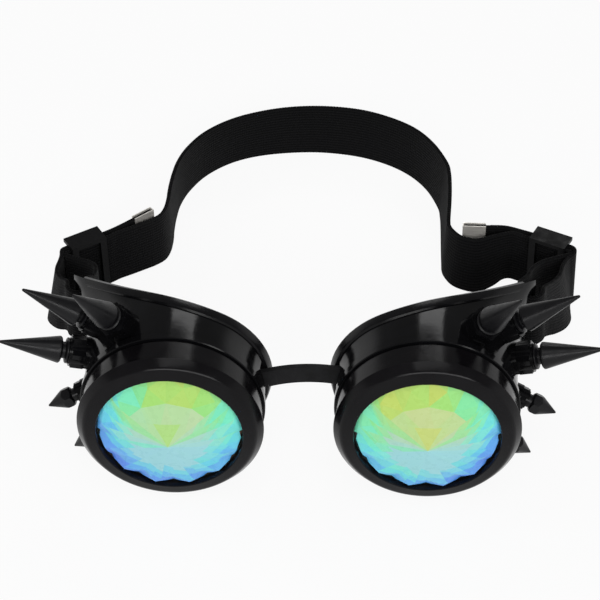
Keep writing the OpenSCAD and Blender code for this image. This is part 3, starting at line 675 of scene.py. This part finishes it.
def upward(p):
    """Angle of a piece from straight up, from 0 to 360 degrees."""
    u, v = centre(p)
    return math.degrees(math.atan2(u, v)) % 360


def lowness(angle):
    """0 where the shards begin beside the point, 1 from well below it."""
    return min(1.0, max(0.0, (min(angle % 360, 360 - angle % 360) - UPPER) / TURN_DOWN))


def zone_lines(sector):
    """The tilted lines at which a sector's zones end."""
    middle = (RAYS[sector - 1] + RAYS[min(sector, len(RAYS) - 1)]) / 2
    low = lowness(middle)
    tilt = TILT[0] + (TILT[1] - TILT[0]) * low
    aside = (tilt if middle < 180 else -tilt) * (1 if chance(sector, 9) < TILT_BACK else -1)
    lines = []
    for number, (beside, below) in enumerate(zip(ZONES_SIDE, ZONES_BELOW)):
        swing = (SWING - SWING_LESS * low) * (1 if sector % 2 else -1)
        swing += (STRAY - STRAY_LESS * low) * chance(sector, number)
        far = (beside + (below - beside) * low + swing) * math.cos(math.radians(tilt))
        lines.append((*ray(middle + aside), far))
    return lines


def shards(shape, tier):
    """Cuts a facet into (piece, sector, zone). A zone of None is above the point, -1 outside the star."""
    if tier == 1 and (upward(shape) < STAR_END or upward(shape) > 360 - STAR_END):
        u, v = centre(shape)
        chord = (u / math.hypot(u, v), v / math.hypot(u, v), STAR_R * math.cos(HALF))
        pieces = cut_by_lines([shape], [chord])
    else:
        chord, pieces = None, [shape]
    wedge = [(1, WEDGE_SLOPE, 0), (1, -WEDGE_SLOPE, 0), (0, 1, WEDGE_TOP)]
    out = []
    for p in cut_by_rays(pieces, RAYS if tier < 2 else RAYS[1:-1]):
        angle = upward(p)
        sector = sum(a <= angle for a in RAYS)
        if UPPER <= angle <= 360 - UPPER:
            lines = zone_lines(sector)
            out += [(part, sector, beyond(part, lines)) for part in cut_by_lines([p], lines)]
        elif tier > 1 or chord and beyond(p, [chord]):
            out.append((p, sector, -1))
        else:
            out += [(part, sector, None) for part in cut_by_lines([p], wedge)]
    return out


def scalloped(p):
    """Cuts a piece where the dark scallops of the rim below begin, into (piece, is dark); the dark is
    painted shade.
    """
    u, v = centre(p)
    if math.hypot(u, v) < SCALLOP_FREE or v > -1:
        return [(p, False)]
    out = []
    first, last = round(90 / SCALLOP_STEP), round(270 / SCALLOP_STEP)
    for part in cut_by_rays([p], [SCALLOP_STEP * k for k in range(first, last + 1)]):
        k = math.floor(upward(part) / SCALLOP_STEP)
        ends = [[c * SCALLOP[(k + j) % 2] for c in ray(SCALLOP_STEP * (k + j))] for j in (0, 1)]
        (u0, v0), (u1, v1) = ends
        line = (v0 - v1, u1 - u0, (v0 - v1) * u0 + (u1 - u0) * v0)
        if line[2] < 0:
            line = tuple(-c for c in line)
        out += [(q, beyond(q, [line]) > 0) for q in cut_by_lines([part], [line])]
    return out


def tone_at(p, sign, tier, number, sector, zone, look):
    """Colour of a piece, a painted reflection of the coating: yellow green on top, pale round the point,
    then aqua, cyan and blue outwards.
    """
    shift, wedge, field = look
    u, v = centre(p)
    across, outwards = u / SEEN_R, u * sign / SEEN_R
    facet, shard = chance(number, tier, 3 + shift), chance(sector, 5, shift)
    # Above the point, outside the star and in it
    if zone == -1:
        return film_colour(0.12 + shift + 0.5 * across ** 2 + 0.22 * outwards + 0.12 * facet)
    if zone is None:
        if v < WEDGE_TOP and abs(u) < WEDGE_SLOPE * v + 0.01:
            return blend(wedge, field, 0.5 * v / WEDGE_TOP - 0.1)
        green = film_colour(0.18 + shift + 0.35 * abs(across) + 0.1 * outwards)
        return blend(green, field, 0.78 + 0.3 * facet)
    # Beside the point and below it
    low = lowness(upward(p))
    # Bluer below the point and outwards, where the facets lean away from the view: painted reflection
    reflected_hue = FILM_SIDE[zone] + (FILM_BELOW[zone] - FILM_SIDE[zone]) * low + shift
    reflected_hue += FILM_OUTWARDS[zone] * outwards * min(1, 0.2 + 1.6 * low)
    reflected_hue += SHARD_FILM * shard + FACET_FILM * facet
    pale = PALE[zone] + PALE_SPREAD[zone] * shard
    if low < LOW and sector % 3 == 0:
        pale *= THIRD_PALE
    elif low > LOW and zone > 0:
        pale *= LOW_PALE
    return blend(film_colour(reflected_hue), blend(field, AQUA, 0.2 + low), pale)


def falling(corners, shape):
    """The plane through a facet's first three corners: a function from (u, v) to how far it has fallen."""
    (u0, v0), (u1, v1), (u2, v2) = shape[:3]
    h0, h1, h2 = (corner[2] for corner in corners[:3])
    det = (u1 - u0) * (v2 - v0) - (u2 - u0) * (v1 - v0)
    by_u = ((h1 - h0) * (v2 - v0) - (h2 - h0) * (v1 - v0)) / det
    by_v = ((u1 - u0) * (h2 - h0) - (u2 - u0) * (h1 - h0)) / det
    return lambda u, v: h0 + by_u * (u - u0) + by_v * (v - v0)


def dome(side):
    """The front of a lens: its corners, faces and colours."""
    sign = SIDES[side]
    verts, faces, tones = [], [], []
    for tier, number, corners in lens_facets():
        shape = [(r * math.cos(math.pi / 2 + HALF * k), r * math.sin(math.pi / 2 + HALF * k))
                 for r, k, _ in corners]
        fall = falling(corners, shape)
        for piece, sector, zone in shards(shape, tier):
            for p, dark in scalloped(piece):
                faces.append(tuple(range(len(verts), len(verts) + len(p))))
                verts += [to_row(sign * CUP_X + u, APEX_Y + fall(u, v), CUP_Z + v) for u, v in p]
                # Painted shade along the lower rim
                if dark:
                    tones.append(SCALLOP_SHADE_TONES[0 if side == "left" and chance(number, tier) > 0 else 1])
                else:
                    tones.append(tone_at(p, sign, tier, number, sector, zone, LOOKS[side]))
    return verts, faces, tones


def add_rim(sign, verts, faces, tones):
    """The rim and the flat back of a lens."""
    back, front = LIP_BACK + TOUCH + LENS_EDGE, LIP_BACK + TOUCH
    rings = [(SEEN_R, front), (LENS_R, front), (LENS_R, back - 0.4), (LENS_R - 0.4, back)]
    n, start = RIM_STEPS, len(verts)
    for r, y in rings:
        verts += [to_row(sign * CUP_X + r * math.cos(a), y, CUP_Z + r * math.sin(a))
                  for a in (2 * math.pi * k / n for k in range(n))]
    for a in range(start, start + (len(rings) - 1) * n, n):
        faces += [(a + k, a + n + k, a + n + (k + 1) % n, a + (k + 1) % n) for k in range(n)]
        tones += [RIM_TONE] * n
    faces.append(tuple(start + (len(rings) - 1) * n + k for k in reversed(range(n))))
    tones.append(BACK_TONE)


def lens(side):
    """A lens: its dome of shards, rim and back, with the coating's colours on its faces."""
    verts, faces, tones = dome(side)
    add_rim(SIDES[side], verts, faces, tones)
    piece = make_piece(f"{side}_cut_lens", verts, faces, glass)
    # The film shines about evenly, whichever way a facet leans, so its shading leans only a little with it
    mesh, front = piece.data, Vector((0, -1, 0))
    mesh.normals_split_custom_set([
        front.lerp(face.normal, EVEN_FILM).normalized() if face.normal.y < -0.05 else face.normal
        for face in mesh.polygons for _ in face.loop_indices])
    film_layer = mesh.color_attributes.new("film", "FLOAT_COLOR", "CORNER")
    for face, colour in zip(mesh.polygons, tones):
        for k in face.loop_indices:
            film_layer.data[k].color = tuple(colour[:3]) + (1,)
    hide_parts(f"{side}_lens")
    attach(piece, f"{side}_glass")


for side in SIDES:
    lens(side)

# Light: the floor's half size in metres and how white it looks, and how bright the horizon, the dim part
# overhead and the even light are
FLOOR_HALF = 4
FLOOR_WHITE = 0.92
HORIZON = 1.0
OVERHEAD = 0.3
FILL = 0.22
# Heights of a direction between which the surroundings turn from white to dim
DIM_FROM, DIM_FULL = 0.16, 0.36


def seen_directly(nodes, links):
    """1 for rays from the camera, from gloss and through glass, 0 for the rest."""
    path = nodes.new("ShaderNodeLightPath")
    last = path.outputs["Is Camera Ray"]
    for name in ("Is Glossy Ray", "Is Transmission Ray"):
        larger = nodes.new("ShaderNodeMath")
        larger.operation = "MAXIMUM"
        links.new(last, larger.inputs[0])
        links.new(path.outputs[name], larger.inputs[1])
        last = larger.outputs[0]
    return last


def make_floor():
    """A pale floor that looks white to the camera, in gloss and through glass, and keeps a faint shadow."""
    mat = bpy.data.materials.new("floor")
    mat.use_nodes = True
    nodes, links = mat.node_tree.nodes, mat.node_tree.links
    nodes.clear()
    out = nodes.new("ShaderNodeOutputMaterial")
    lit = nodes.new("ShaderNodeBsdfDiffuse")
    lit.inputs["Color"].default_value = (0.85, 0.85, 0.86, 1)
    white = nodes.new("ShaderNodeEmission")
    both = nodes.new("ShaderNodeMixShader")
    share = nodes.new("ShaderNodeMath")
    share.operation = "MULTIPLY"
    share.inputs[1].default_value = FLOOR_WHITE
    links.new(seen_directly(nodes, links), share.inputs[0])
    links.new(share.outputs[0], both.inputs[0])
    links.new(lit.outputs[0], both.inputs[1])
    links.new(white.outputs[0], both.inputs[2])
    links.new(both.outputs[0], out.inputs[0])
    f = FLOOR_HALF
    floor = make_piece("floor", [(-f, -f, 0), (f, -f, 0), (f, f, 0), (-f, f, 0)], [(0, 1, 2, 3)], mat)


def make_world():
    """White all round the horizon, dim overhead, and a soft even light on everything."""
    world = bpy.data.worlds.new("studio")
    scene.world = world
    world.use_nodes = True
    nodes, links = world.node_tree.nodes, world.node_tree.links
    back = nodes["Background"]
    apart = nodes.new("ShaderNodeSeparateXYZ")
    links.new(nodes.new("ShaderNodeTexCoord").outputs["Generated"], apart.inputs[0])
    height = nodes.new("ShaderNodeMapRange")
    height.interpolation_type = "SMOOTHSTEP"
    values = {"From Min": DIM_FROM, "From Max": DIM_FULL, "To Min": HORIZON, "To Max": OVERHEAD}
    for key, value in values.items():
        height.inputs[key].default_value = value
    links.new(apart.outputs["Z"], height.inputs["Value"])
    level = nodes.new("ShaderNodeMix")
    level.inputs["A"].default_value = FILL
    links.new(seen_directly(nodes, links), level.inputs["Factor"])
    links.new(height.outputs["Result"], level.inputs["B"])
    links.new(level.outputs["Result"], back.inputs["Strength"])
    back.inputs["Color"].default_value = (1, 1, 1, 1)


def softbox(name, place, target, size, watts, mirrored=True):
    """A rectangular lamp; one that isn't mirrored lights the object but doesn't show in its gloss."""
    data = bpy.data.lights.new(name, "AREA")
    data.shape = "RECTANGLE"
    data.size, data.size_y = size
    data.energy = watts
    lamp = bpy.data.objects.new(name, data)
    scene.collection.objects.link(lamp)
    lamp.location = place
    lamp.rotation_euler = (Vector(target) - Vector(place)).to_track_quat("-Z", "Y").to_euler()
    lamp.visible_glossy = mirrored


make_camera()
make_floor()
make_world()
cups, between_cups = (-0.02, -0.07, 0.06), (0, -0.05, 0.03)
softbox("window_light", (0.13, 1.22, 1.03), cups, size=(0.56, 0.26), watts=2.2)
softbox("overhead_light", (0.1, -0.6, 1.6), between_cups, size=(1.0, 0.7), watts=4.5)
softbox("front_fill", (0.3, -1.4, 0.9), between_cups, size=(2.0, 0.4), watts=17)
softbox("left_fill", (-1.3, 0.3, 0.9), between_cups, size=(0.9, 0.9), watts=4, mirrored=False)
scene.view_settings.view_transform = "Standard"
